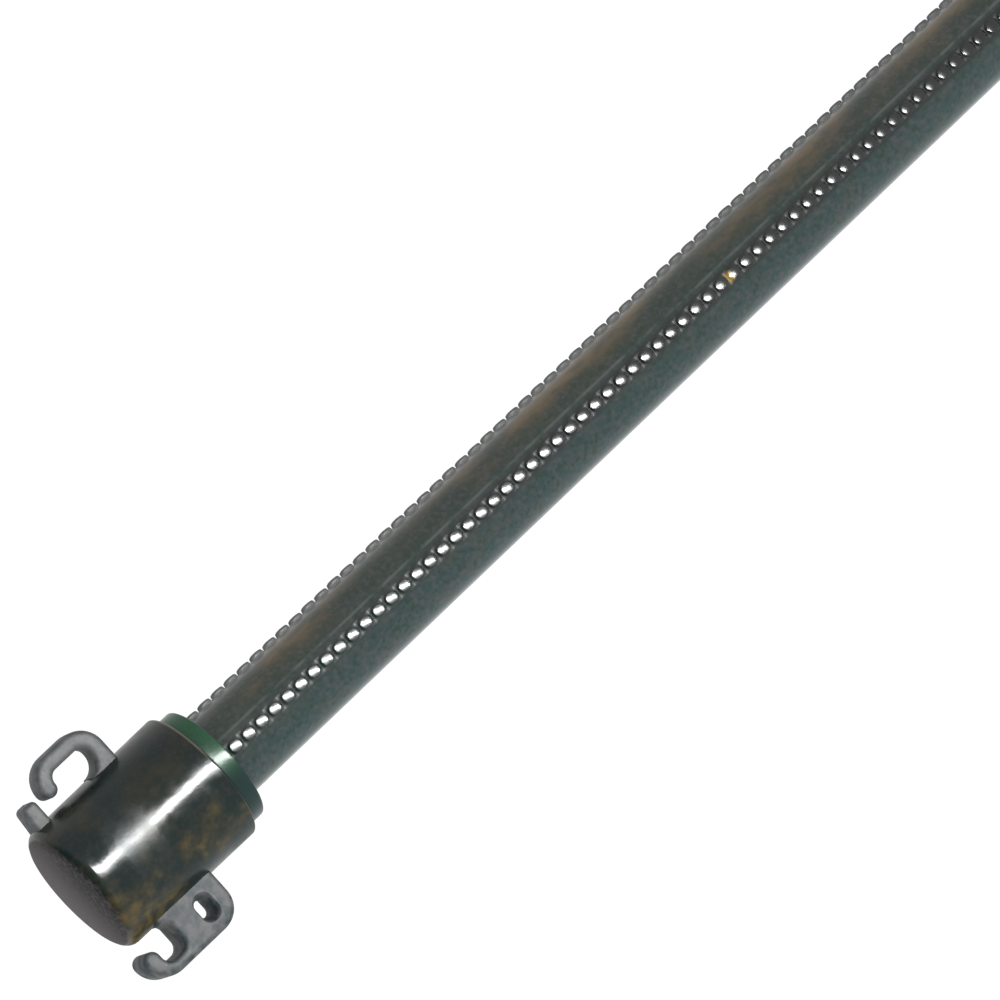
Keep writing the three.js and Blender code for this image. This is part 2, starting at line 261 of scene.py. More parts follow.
def bump_patch():
    """A quarter of the jacket, one bump long, with the bump in its middle.

    The rise attribute is 0 on the plain jacket and 1 at the top of the bump. The crevice
    attribute is 1 between two bumps and 0 on the plain jacket and on the crest.
    """
    bm = bmesh.new()
    rise_layer = bm.verts.layers.float.new("rise")
    crevice_layer = bm.verts.layers.float.new("crevice")
    half_pitch = BUMP_PITCH / 2

    def spot(across, along, rise, crevice=0.0):
        turn = across / JACKET_RADIUS
        rise *= 1 - BUMP_FALL * (along / BUMP_HALF_LENGTH) ** 2
        flat = CREST_FLATNESS * rise * (1 / math.cos(turn) - 1)
        radius = (JACKET_RADIUS + BUMP_HEIGHT * rise) * (1 + flat)
        place = Vector((radius * math.cos(turn), radius * math.sin(turn), along))
        vert = bm.verts.new(place * MM)
        vert[rise_layer] = rise
        vert[crevice_layer] = crevice
        return vert

    def oval(turn):
        c, s = math.cos(turn), math.sin(turn)
        power = 2 / BUMP_SQUARENESS
        across = math.copysign(abs(c) ** power, c) * BUMP_HALF_WIDTH
        along = math.copysign(abs(s) ** power, s) * BUMP_HALF_LENGTH
        return across, along

    # The frame round the bump, counter-clockwise from its upper right corner
    per_side = BUMP_SIDES // 4
    corners = [(1, 1), (-1, 1), (-1, -1), (1, -1), (1, 1)]
    border = []
    for (ax, az), (bx, bz) in zip(corners, corners[1:]):
        for k in range(per_side):
            x = (ax + (bx - ax) * k / per_side) * PATCH_HALF_WIDTH
            z = (az + (bz - az) * k / per_side) * half_pitch
            inside = abs(x) < BORDER_SHARE * PATCH_HALF_WIDTH
            at_end = abs(z) > BORDER_SHARE * half_pitch
            border.append(spot(x, z, 0, float(inside and at_end)))
    rings = [border]
    for width_share, length_share, rise in BUMP_RINGS:
        ring = []
        for k in range(BUMP_SIDES):
            across, along = oval(math.pi / 4 + 2 * math.pi * k / BUMP_SIDES)
            crevice = max(0, 1 - CREVICE_FALL * rise) * abs(along / BUMP_HALF_LENGTH)
            ring.append(spot(across * width_share, along * length_share, rise, crevice))
        rings.append(ring)
    for outer, inner in zip(rings, rings[1:]):
        for k in range(BUMP_SIDES):
            n = (k + 1) % BUMP_SIDES
            bm.faces.new((outer[k], outer[n], inner[n], inner[k]))
    top = spot(0, 0, 1)
    for k in range(BUMP_SIDES):
        bm.faces.new((rings[-1][k], rings[-1][(k + 1) % BUMP_SIDES], top))

    # The plain jacket on both sides of the bump
    half_spacing = JACKET_RADIUS * ROW_SPACING / 2
    for side in (1, -1):
        columns = []
        for k in range(1, JACKET_COLUMNS + 1):
            across = PATCH_HALF_WIDTH + (half_spacing - PATCH_HALF_WIDTH) * k / JACKET_COLUMNS
            low, high = (spot(side * across, along, 0) for along in (-half_pitch, half_pitch))
            columns.append((low, high))
        if side == 1:
            inner_edge = [border[0]] + border[:-per_side - 1:-1]
        else:
            inner_edge = border[per_side:2 * per_side + 1]
        first_low, first_high = columns[0]
        faces = [inner_edge + [first_low, first_high]]
        for (a, b), (c, d) in zip(columns, columns[1:]):
            faces.append([a, c, d, b])
        for corners in faces:
            face = bm.faces.new(corners)
            face.normal_update()
            if face.normal.dot(face.calc_center_median() * Vector((1, 1, 0))) < 0:
                face.normal_flip()
    mesh = bpy.data.meshes.new("bump_patch")
    bm.to_mesh(mesh)
    bm.free()
    return mesh


def bump_rows_tree():
    """Repeats a patch of the jacket along the stake and round it, as one joined skin."""
    tree = bpy.data.node_groups.new("bump_rows", "GeometryNodeTree")
    inputs = {}
    for name, kind in (
        ("Patch", "NodeSocketGeometry"),
        ("Rows", "NodeSocketInt"),
        ("Bumps in a row", "NodeSocketInt"),
        ("Pitch", "NodeSocketFloat"),
        ("First bump", "NodeSocketFloat"),
        ("First row", "NodeSocketFloat"),
        ("Row spacing", "NodeSocketFloat"),
        ("Height scatter", "NodeSocketFloat"),
        ("Seed", "NodeSocketInt"),
        ("Plastic", "NodeSocketMaterial"),
    ):
        inputs[name] = tree.interface.new_socket(name, in_out="INPUT", socket_type=kind).identifier
    tree.interface.new_socket("Skin", in_out="OUTPUT", socket_type="NodeSocketGeometry")
    nodes, links = tree.nodes, tree.links

    def node(kind, settings=None, **wired):
        made = nodes.new(kind)
        for key, value in (settings or {}).items():
            setattr(made, key, value)
        for key, value in wired.items():
            name = key.replace("_", " ").lower()
            plug = next(s for s in made.inputs if s.enabled and s.name.lower() == name)
            wire(links, value, plug)
        return made

    def result(made, name=None):
        return next(s for s in made.outputs if s.enabled and name in (None, s.name))

    def sum_of(operation, a, b):
        made = nodes.new("ShaderNodeMath")
        made.operation = operation
        for plug, value in zip(made.inputs, (a, b)):
            wire(links, value, plug)
        return made.outputs[0]

    given = nodes.new("NodeGroupInput").outputs
    start = node("ShaderNodeCombineXYZ", Z=given["First bump"])
    stride = node("ShaderNodeCombineXYZ", Z=given["Pitch"])
    line = node(
        "GeometryNodeMeshLine", {"mode": "OFFSET"},
        Count=given["Bumps in a row"], Start_Location=result(start), Offset=result(stride),
    )
    rows = node(
        "GeometryNodeDuplicateElements", {"domain": "POINT"},
        Geometry=result(line), Amount=given["Rows"],
    )
    lowest = sum_of("MULTIPLY", given["Height scatter"], -1.0)
    scatter = node(
        "FunctionNodeRandomValue", {"data_type": "FLOAT"},
        Min=lowest, Max=given["Height scatter"], Seed=given["Seed"],
    )
    marked = node(
        "GeometryNodeStoreNamedAttribute", {"data_type": "FLOAT", "domain": "POINT"},
        Geometry=result(rows), Name="over_height", Value=result(scatter),
    )
    row_turn = sum_of("MULTIPLY", given["Row spacing"], result(rows, "Duplicate Index"))
    row_turn = sum_of("ADD", row_turn, given["First row"])
    # The turn goes with the point, because the row number is lost once it is stored
    turned = node(
        "GeometryNodeStoreNamedAttribute", {"data_type": "FLOAT", "domain": "POINT"},
        Geometry=result(marked), Name="row_turn", Value=row_turn,
    )
    read_turn = node("GeometryNodeInputNamedAttribute", {"data_type": "FLOAT"}, Name="row_turn")
    facing = node("ShaderNodeCombineXYZ", Z=result(read_turn, "Attribute"))
    placed = node(
        "GeometryNodeInstanceOnPoints",
        Points=result(turned), Instance=given["Patch"], Rotation=result(facing),
    )
    real = node("GeometryNodeRealizeInstances", Geometry=result(placed))
    joined = node("GeometryNodeMergeByDistance", Geometry=result(real), Distance=PATCH_WELD * MM)

    read_rise = node("GeometryNodeInputNamedAttribute", {"data_type": "FLOAT"}, Name="rise")
    read_over = node("GeometryNodeInputNamedAttribute", {"data_type": "FLOAT"}, Name="over_height")
    lift = sum_of("MULTIPLY", result(read_rise, "Attribute"), result(read_over, "Attribute"))
    position = nodes.new("GeometryNodeInputPosition")
    outward = nodes.new("ShaderNodeVectorMath")
    outward.operation = "MULTIPLY"
    links.new(position.outputs[0], outward.inputs[0])
    outward.inputs[1].default_value = (1, 1, 0)
    unit = nodes.new("ShaderNodeVectorMath")
    unit.operation = "NORMALIZE"
    links.new(outward.outputs[0], unit.inputs[0])
    scaled = nodes.new("ShaderNodeVectorMath")
    scaled.operation = "SCALE"
    links.new(unit.outputs[0], scaled.inputs[0])
    links.new(lift, scaled.inputs["Scale"])
    raised = node("GeometryNodeSetPosition", Geometry=result(joined), Offset=scaled.outputs[0])
    coated = node("GeometryNodeSetMaterial", Geometry=result(raised), Material=given["Plastic"])
    links.new(result(coated), nodes.new("NodeGroupOutput").inputs[0])
    return tree, inputs


def bump_rows_skin(first_bump, bumps, plastic):
    former = new_piece("bump_rows_former", bump_patch())
    tree, inputs = bump_rows_tree()
    rows = former.modifiers.new("bump_rows", "NODES")
    rows.node_group = tree
    rows[inputs["Rows"]] = BUMP_ROWS
    rows[inputs["Bumps in a row"]] = bumps
    rows[inputs["Pitch"]] = BUMP_PITCH * MM
    rows[inputs["First bump"]] = first_bump * MM
    rows[inputs["First row"]] = FIRST_ROW
    rows[inputs["Row spacing"]] = ROW_SPACING
    rows[inputs["Height scatter"]] = HEIGHT_SCATTER * MM
    rows[inputs["Seed"]] = SCATTER_SEED
    rows[inputs["Plastic"]] = plastic
    mesh = evaluated_mesh(former)
    bpy.data.objects.remove(former)
    return mesh


def close_plain_side(bm):
    """Carries the skin on round the side of the jacket that has no bumps."""
    start = FIRST_ROW + (BUMP_ROWS - 0.5) * ROW_SPACING
    sweep = 2 * math.pi - BUMP_ROWS * ROW_SPACING
    away = Vector((-math.sin(start), math.cos(start), 0))

    def at_start(vert):
        outward = Vector((math.cos(start), math.sin(start), 0))
        return vert.co.dot(outward) > 0 and abs(vert.co.dot(away)) < PATCH_WELD * MM

    edges = [e for e in bm.edges if e.is_boundary and all(at_start(v) for v in e.verts)]
    step = Matrix.Rotation(sweep / PLAIN_COLUMNS, 4, "Z")
    for _ in range(PLAIN_COLUMNS):
        made = bmesh.ops.extrude_edge_only(bm, edges=edges)["geom"]
        verts = [g for g in made if isinstance(g, bmesh.types.BMVert)]
        bmesh.ops.transform(bm, matrix=step, verts=verts)
        fresh = set(verts)
        edges = [g for g in made if isinstance(g, bmesh.types.BMEdge)]
        edges = [e for e in edges if fresh.issuperset(e.verts)]
    bmesh.ops.remove_doubles(bm, verts=bm.verts, dist=COLUMN_WELD * MM)


def drawn_on(bm, edges, radius, height):
    """Draws an open end of the jacket on to another radius and height."""
    made = bmesh.ops.extrude_edge_only(bm, edges=edges)["geom"]
    for vert in (g for g in made if isinstance(g, bmesh.types.BMVert)):
        reach = math.hypot(vert.co.x, vert.co.y)
        vert.co.x *= radius * MM / reach
        vert.co.y *= radius * MM / reach
        vert.co.z = height * MM
    return [g for g in made if isinstance(g, bmesh.types.BMEdge) and g.is_boundary]


def put_in_order(bm):
    """Lists the edges and faces by their places, because drawn-on ones come in any order."""
    def place(part):
        middle = sum((v.co for v in part.verts), Vector()) / len(part.verts)
        return middle.z, middle.y, middle.x

    for parts in (bm.edges, bm.faces):
        for k, part in enumerate(sorted(parts, key=place)):
            part.index = k
        parts.sort()


def make_jacket(plastic):
    low, high = (corner[2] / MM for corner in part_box("plastic_jacket"))
    bumps = int((high - low - 2 * PLAIN_END) / BUMP_PITCH)
    rows_foot = low + (high - low - bumps * BUMP_PITCH) / 2
    rows_top = rows_foot + bumps * BUMP_PITCH
    mesh = bump_rows_skin(rows_foot + BUMP_PITCH / 2, bumps, plastic)

    bm = bmesh.new()
    bm.from_mesh(mesh)
    close_plain_side(bm)
    middle = (low + high) / 2 * MM

    # The plain ends take their values from the ends of the rows, so no crevice is left there
    crevice_layer = bm.verts.layers.float["crevice"]
    rows_half = (rows_top - rows_foot) / 2
    for vert in bm.verts:
        if abs(vert.co.z - middle) > (rows_half - COLUMN_WELD) * MM:
            vert[crevice_layer] = 0.0

    edges = [e for e in bm.edges if e.is_boundary and e.verts[0].co.z > middle]
    for radius, height in (
        (JACKET_RADIUS, high - JACKET_EDGE),
        (JACKET_RADIUS - JACKET_EDGE, high),
        (JACKET_BORE, high),
        (JACKET_BORE, low),
        (JACKET_RADIUS - JACKET_EDGE, low),
        (JACKET_RADIUS, low + JACKET_EDGE),
        (JACKET_RADIUS, rows_foot),
    ):
        edges = drawn_on(bm, edges, radius, height)
    bmesh.ops.remove_doubles(bm, verts=bm.verts, dist=END_WELD * MM)
    bmesh.ops.recalc_face_normals(bm, faces=bm.faces)
    for edge in bm.edges:
        heights = [v.co.z / MM for v in edge.verts]
        past_top = min(heights) > rows_top + END_MARGIN
        past_foot = max(heights) < rows_foot - END_MARGIN
        sharp = edge.calc_face_angle(0) > END_SHARP_ANGLE
        edge.smooth = not (sharp and (past_top or past_foot))
    for face in bm.faces:
        face.smooth = True
    put_in_order(bm)
    bm.to_mesh(mesh)
    bm.free()
    return new_piece("jacket_skin", mesh)


# Cap

def arc(centre_x, centre_z, radius, start, end):
    """Points on an arc, with both of its ends."""
    count = max(2, math.ceil(abs(end - start) / ARC_STEP))
    points = []
    for k in range(count + 1):
        turn = start + (end - start) * k / count
        points.append((centre_x + radius * math.cos(turn), centre_z + radius * math.sin(turn)))
    return points


def open_hook_outline():
    """A strap that leaves the cap, turns up and curls back towards it."""
    floor, roof = HOOK_FOOT + HOOK_STRAP, HOOK_TOP - HOOK_STRAP
    tip, bend = HOOK_STRAP / 2, HOOK_CORNER - HOOK_STRAP
    turn = HOOK_REACH - HOOK_CORNER
    fillet_reach, fillet_level = CAP_MOUTH_RADIUS + HOOK_FILLET, floor + HOOK_FILLET
    return [
        (ROOT_REACH, HOOK_FOOT),
        *arc(turn, HOOK_FOOT + HOOK_CORNER, HOOK_CORNER, DOWN, 0),
        *arc(turn, HOOK_TOP - HOOK_CORNER, HOOK_CORNER, 0, UP)[:-1],
        *arc(HOOK_TIP_REACH, HOOK_TOP - tip, tip, UP, 3 * UP)[:-1],
        *arc(turn, roof - bend, bend, UP, 0),
        *arc(turn, floor + bend, bend, 0, DOWN),
        *arc(fillet_reach, fillet_level, HOOK_FILLET, DOWN, -LEFT),
        (ROOT_REACH, fillet_level),
    ]


def guard_peg_outline():
    """A short peg over the gap of the open hook, which droops to its end."""
    turn = PEG_REACH - PEG_CORNER
    return [
        (ROOT_REACH, PEG_FOOT),
        *arc(turn, PEG_FOOT + PEG_CORNER, PEG_CORNER, DOWN, 0),
        *arc(turn, PEG_END_TOP - PEG_CORNER, PEG_CORNER, 0, UP),
        (ROOT_REACH, PEG_TOP),
    ]


def eye_lug_outline():
    """A lug with an upper hook, which opens towards the crown."""
    turn, bend_reach = HOOK_REACH - LUG_CORNER, LUG_INSIDE - UPPER_BEND
    tip = (LUG_TOP - UPPER_ROOF) / 2
    floor_bend, roof_bend = UPPER_FLOOR + UPPER_BEND, UPPER_ROOF - UPPER_BEND
    return [
        (ROOT_REACH, LUG_FOOT),
        *arc(turn, LUG_FOOT + LUG_CORNER, LUG_CORNER, DOWN, 0),
        *arc(turn, LUG_TOP - LUG_CORNER, LUG_CORNER, 0, UP)[:-1],
        *arc(UPPER_TIP_REACH, LUG_TOP - tip, tip, UP, 3 * UP),
        *arc(bend_reach, roof_bend, UPPER_BEND, UP, 0),
        *arc(bend_reach, floor_bend, UPPER_BEND, 0, DOWN),
        *arc(CAP_MOUTH_RADIUS + UPPER_BEND, floor_bend, UPPER_BEND, DOWN, -LEFT),
        (ROOT_REACH, floor_bend),
    ]


def eye_room(mouth):
    """The room in the eye of the lug, which narrows from both faces to a waist."""
    end_x, end_z = EYE_HALF_WIDTH - EYE_CORNER, EYE_HALF_HEIGHT - EYE_CORNER
    outline = [
        *arc(end_x, -end_z, EYE_CORNER, DOWN, 0),
        *arc(end_x, end_z, EYE_CORNER, 0, UP),
        *arc(-end_x, end_z, EYE_CORNER, UP, LEFT),
        *arc(-end_x, -end_z, EYE_CORNER, LEFT, 3 * UP),
    ]
    near_side = [(-share, size) for share, size in reversed(EYE_FLARE[1:])]
    bm = bmesh.new()
    rings = []
    for share, size in (*near_side, *EYE_FLARE):
        depth = share * LUG_THICKNESS / 2
        ring = []
        for x, z in outline:
            spot = Vector((-EYE_REACH - x * size, depth, mouth + EYE_LEVEL + z * size))
            ring.append(bm.verts.new(spot * MM))
        rings.append(ring)
    for near, far in zip(rings, rings[1:]):
        for k in range(len(outline)):
            n = (k + 1) % len(outline)
            bm.faces.new((near[k], near[n], far[n], far[k]))
    bm.faces.new(rings[0])
    bm.faces.new(rings[-1])
    bmesh.ops.recalc_face_normals(bm, faces=bm.faces)
    return new_piece("eye_room", finish_mesh(bm, "eye_room"))


def moulded_lug(name, outline, thickness, edge, mouth, facing):
    """A lug with rounded edges, from an outline of (reach, height above the mouth)."""
    curve = bpy.data.curves.new(name, "CURVE")
    curve.dimensions = "2D"
    curve.fill_mode = "BOTH"
    line = curve.splines.new("POLY")
    line.points.add(len(outline) - 1)
    for point, (reach, height) in zip(line.points, outline):
        point.co = (reach * MM, (mouth + height) * MM, 0, 1)
    line.use_cyclic_u = True
    curve.extrude = (thickness / 2 - edge) * MM
    curve.bevel_depth = edge * MM
    curve.bevel_resolution = EDGE_STEPS
    curve.offset = -edge * MM
    former = new_piece(name, curve)
    mesh = evaluated_mesh(former)
    bpy.data.objects.remove(former)
    bm = bmesh.new()
    bm.from_mesh(mesh)
    bmesh.ops.remove_doubles(bm, verts=bm.verts, dist=LUG_WELD * MM)
    turn = Matrix.Rotation(facing, 4, "Z") @ Matrix.Rotation(UP, 4, "X")
    bmesh.ops.transform(bm, matrix=turn, verts=bm.verts)
    bmesh.ops.recalc_face_normals(bm, faces=bm.faces)
    bm.to_mesh(mesh)
    bm.free()
    return new_piece(name, mesh)


def cap_shell(mouth, crown):
    """The hollow round of the cap, from the middle of its crown to its ceiling."""
    seat_top = mouth + SLEEVE_SEAT_HEIGHT
    ceiling = crown - CROWN_WALL
    dome = []
    for reach in (*DOME_REACHES, CAP_CROWN_RADIUS):
        fall = CROWN_FALL * (reach / CAP_CROWN_RADIUS) ** 2
        dome.append((reach, crown + CROWN_RISE - fall))
    path = rounded_path((
        *((reach, height, 0) for reach, height in dome[:-1]),
        (*dome[-1], CAP_EDGE_RADIUS),
        (CAP_MOUTH_RADIUS, mouth, MOUTH_EDGE),
        (SLEEVE_SEAT_RADIUS, mouth, SEAT_EDGE),
        (SLEEVE_SEAT_RADIUS, seat_top, 0),
        (SOCKET_RADIUS, seat_top, 0),
        (SOCKET_RADIUS, ceiling, CEILING_EDGE),
        (0, ceiling, 0),
    ))
    return revolved(stepped_path(path, CAP_RING_STEP), CAP_SEGMENTS, False)


def make_cap():
    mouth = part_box("collar_bush")[0][2] / MM + FLANGE_HEIGHT + SEAT_CLEARANCE
    crown = mouth + CAP_HEIGHT
    shell = new_piece("cap_with_hooks", finish_mesh(cap_shell(mouth, crown), "cap_with_hooks"))
    formers = []
    for name, outline, thickness, edge, facing in (
        ("open_hook", open_hook_outline(), HOOK_THICKNESS, HOOK_EDGE, 0),
        ("guard_peg", guard_peg_outline(), HOOK_THICKNESS, PEG_EDGE, 0),
        ("eye_lug", eye_lug_outline(), LUG_THICKNESS, LUG_EDGE, LEFT),
    ):
        formers.append((moulded_lug(name, outline, thickness, edge, mouth, facing), "UNION"))
    formers.append((eye_room(mouth), "DIFFERENCE"))
    for former, operation in formers:
        joint = shell.modifiers.new(former.name, "BOOLEAN")
        joint.operation = operation
        joint.solver = "MANIFOLD"
        joint.object = former
    mesh = evaluated_mesh(shell)
    shell.modifiers.clear()
    for former, _ in formers:
        bpy.data.objects.remove(former)

    # The joined mesh is welded, and the hook attribute is 1 on the faces of the hooks
    bm = bmesh.new()
    bm.from_mesh(mesh)
    bmesh.ops.remove_doubles(bm, verts=bm.verts, dist=CAP_WELD * MM)
    bmesh.ops.dissolve_degenerate(bm, edges=bm.edges, dist=CAP_SLIVER * MM)
    hook_layer = bm.faces.layers.float.new("hook")
    for face in bm.faces:
        reach = max(math.hypot(v.co.x, v.co.y) for v in face.verts)
        face[hook_layer] = float(reach > (CAP_MOUTH_RADIUS + HOOK_MARGIN) * MM)
    shell.data = finish_mesh(bm, "cap_with_hooks")
    return shell


# Collar and spike

def make_collar():
    low, high = (corner[2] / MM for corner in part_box("collar_bush"))
    path = rounded_path((
        (SOCKET_RADIUS, high - BORE_START, 0),
        (SOCKET_RADIUS, low, BORE_EDGE),
        (FLANGE_RADIUS, low, FLANGE_EDGE),
        (FLANGE_RADIUS, low + FLANGE_HEIGHT, FLANGE_TOP_EDGE),
        (SLEEVE_RADIUS, low + FLANGE_HEIGHT, 0),
        (SLEEVE_RADIUS, high, SLEEVE_EDGE),
        (SOCKET_RADIUS, high, SLEEVE_EDGE),
        (SOCKET_RADIUS, high - BORE_START, 0),
    ))
    ring = revolved(path[:-1], TURNED_SEGMENTS, True)
    return new_piece("collar_ring", finish_mesh(ring, "collar_ring"))


def make_spike():
    low, high = (corner[2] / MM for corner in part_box("ground_spike"))
    shoulder = high - SHANK_LENGTH
    path = rounded_path((
        (0, low, 0),
        (SPIKE_TIP_RADIUS, low, SPIKE_TIP_EDGE),
        (JACKET_RADIUS, shoulder - SPIKE_RIM, SPIKE_RIM_ROUNDING),
        (JACKET_RADIUS, shoulder, SPIKE_EDGE),
        (SHANK_RADIUS, shoulder, 0),
        (SHANK_RADIUS, high - SHANK_CHAMFER, 0),
        (SHANK_RADIUS - SHANK_CHAMFER, high, 0),
        (0, high, 0),
    ))
    plug = revolved(path, TURNED_SEGMENTS, False)
    return new_piece("spike_plug", finish_mesh(plug, "spike_plug"))


# Materials

def tone(red, green, blue):
    return (red, green, blue, 1.0)


# Colours of the finishes
JACKET_BLUER = tone(0.020, 0.058, 0.060)
JACKET_GREENER = tone(0.023, 0.043, 0.030)
JACKET_MOTTLE = tone(0.050, 0.060, 0.048)
JACKET_PALE_SPECKS = tone(0.064, 0.068, 0.074)
JACKET_DARK_SPECKS = tone(0.010, 0.036, 0.020)
JACKET_SOIL = tone(0.190, 0.128, 0.056)
DIE_LINE = tone(0.110, 0.135, 0.130)
# Painted shade along the front row and in the gaps between its bumps
ROW_SHADE = tone(0.008, 0.011, 0.010)
YELLOW_EARTH = tone(0.420, 0.270, 0.040)
# Painted light on the row at the edge of the stake, at the foot of its bumps and on their crests
LIT_FRINGE_FOOT = tone(0.240, 0.250, 0.250)
LIT_FRINGE_CREST = tone(0.070, 0.080, 0.074)
CAP_DARK = tone(0.006, 0.018, 0.017)
CAP_LIGHT = tone(0.012, 0.022, 0.017)
CAP_SPECKS = tone(0.026, 0.028, 0.026)
CAP_SOIL = tone(0.150, 0.104, 0.036)
HOOK_DARK = tone(0.072, 0.086, 0.092)
HOOK_LIGHT = tone(0.142, 0.142, 0.144)
HOOK_SPECKS = tone(0.172, 0.178, 0.190)
HOOK_STAIN = tone(0.020, 0.040, 0.044)
# Painted shade at the front of the crown and painted light at its back
CROWN_SHADED_FRONT = tone(0.016, 0.017, 0.018)
CROWN_LIT_BACK = tone(0.150, 0.135, 0.140)
CROWN_SPECKS = tone(0.110, 0.096, 0.092)
# Painted highlight along the edge of the cap's mouth
MOUTH_HIGHLIGHT = tone(0.200, 0.180, 0.140)
COLLAR_YELLOWER = tone(0.030, 0.130, 0.056)
COLLAR_BLUER = tone(0.040, 0.120, 0.072)
# Painted shade on the side of the collar towards the eye lug
COLLAR_SHADED_SIDE = tone(0.014, 0.040, 0.037)
COLLAR_SPECKS = tone(0.020, 0.050, 0.034)
SPIKE_DARK = tone(0.028, 0.046, 0.036)
SPIKE_LIGHT = tone(0.034, 0.052, 0.046)
SPIKE_SCUFFS = tone(0.090, 0.088, 0.070)
STEEL_LIGHT = tone(0.46, 0.47, 0.48)
STEEL_DARK = tone(0.36, 0.36, 0.36)

# Zones of the finishes, from and to: sides are along X, levels along Z, reaches from the axis
JACKET_SIDES = (-7, 7)
JACKET_SOIL_SIDE = (3, 7.5)
# Levels over which the painted shade of the front row darkens
ROW_SHADE_LEVELS = (645, 585)
SPECK_LEVEL = 545.2
SPECK_HALF_LENGTH = (0.3, 0.8)
# Where the painted light of the row at the edge begins
LIT_FRINGE_SIDE = (7.6, 7.95)
CAP_SOIL_SIDE = (2, -8)
CAP_FRONT = -0.25
CAP_FLANKS = (7.5, 12.4)  # away from the front
LUG_SIDE = (4, -4)
CROWN_LEVELS = (698.9, 699.9)
CROWN_REACHES = (12.6, 11.2)
CROWN_SHADING_DEPTH = (-11.5, 10)  # from its front to its back, along Y
MOUTH_LEVELS = (671.3, 671.0)
MOUTH_HIGHLIGHT_SIDE = (1, 5)
COLLAR_SHADE_SIDES = (-4, 2)

# Zones round the axis, in radians: the turn of the line, then half widths, from and to
DIE_LINE_TURN = math.radians(-67.5)
DIE_LINE_HALF_WIDTH = (0.012, 0.05)
ROW_SHADE_HALF_WIDTH = (0.15, 0.28)
SPECK_HALF_WIDTH = (0.06, 0.15)


class Finish:
    """A material's nodes, with short calls for the ones that every finish here uses."""

    def __init__(self, name, specular):
        self.material = bpy.data.materials.new(name)
        self.material.use_nodes = True
        self.nodes = self.material.node_tree.nodes
        self.links = self.material.node_tree.links
        self.shader = self.nodes["Principled BSDF"]
        self.shader.inputs["Specular IOR Level"].default_value = specular
        self.place = self.nodes.new("ShaderNodeTexCoord").outputs["Object"]

    def noise(self, per_metre, detail=3.0, stretch=(1, 1, 1), shift=(0, 0, 0)):
        mapping = self.nodes.new("ShaderNodeMapping")
        mapping.inputs["Scale"].default_value = stretch
        mapping.inputs["Location"].default_value = shift
        self.links.new(self.place, mapping.inputs["Vector"])
        noise = self.nodes.new("ShaderNodeTexNoise")
        noise.inputs["Scale"].default_value = per_metre
        noise.inputs["Detail"].default_value = detail
        self.links.new(mapping.outputs[0], noise.inputs["Vector"])
        return noise.outputs[0]

    def attribute(self, name):
        node = self.nodes.new("ShaderNodeAttribute")
        node.attribute_name = name
        return node.outputs["Fac"]

    def sum(self, operation, a, b=0.0, c=0.0):
        node = self.nodes.new("ShaderNodeMath")
        node.operation = operation
        for plug, value in zip(node.inputs, (a, b, c)):
            wire(self.links, value, plug)
        return node.outputs[0]

    def off(self, value, middle):
        """How far the value is from a middle one, on either side."""
        return self.sum("ABSOLUTE", self.sum("SUBTRACT", value, middle))

    def span(self, value, low, high, to_low=0.0, to_high=1.0):
        """The value from low to high, eased on to another range."""
        node = self.nodes.new("ShaderNodeMapRange")
        node.interpolation_type = "SMOOTHSTEP"
        for plug, number in zip(node.inputs, (value, low, high, to_low, to_high)):
            wire(self.links, number, plug)
        return node.outputs[0]

    def zone(self, place, ends, to_low=0.0, to_high=1.0):
        """The same for a place, between two ends in millimetres."""
        start, end = ends
        return self.span(place, start * MM, end * MM, to_low, to_high)

    def blend(self, share, a, b):
        node = self.nodes.new("ShaderNodeMix")
        node.data_type = "RGBA"
        for plug, value in zip((node.inputs[0], node.inputs[6], node.inputs[7]), (share, a, b)):
            wire(self.links, value, plug)
        return node.outputs[2]

    def axes(self):
        node = self.nodes.new("ShaderNodeSeparateXYZ")
        self.links.new(self.place, node.inputs[0])
        return node.outputs

    def bump(self, height, depth, under=None):
        node = self.nodes.new("ShaderNodeBump")
        node.inputs["Strength"].default_value = 1.0
        node.inputs["Distance"].default_value = depth * MM
        self.links.new(height, node.inputs["Height"])
        if under:
            self.links.new(under, node.inputs["Normal"])
        return node.outputs[0]

    def done(self, colour, roughness, normal):
        self.links.new(colour, self.shader.inputs["Base Color"])
        self.links.new(roughness, self.shader.inputs["Roughness"])
        self.links.new(normal, self.shader.inputs["Normal"])
        return self.material


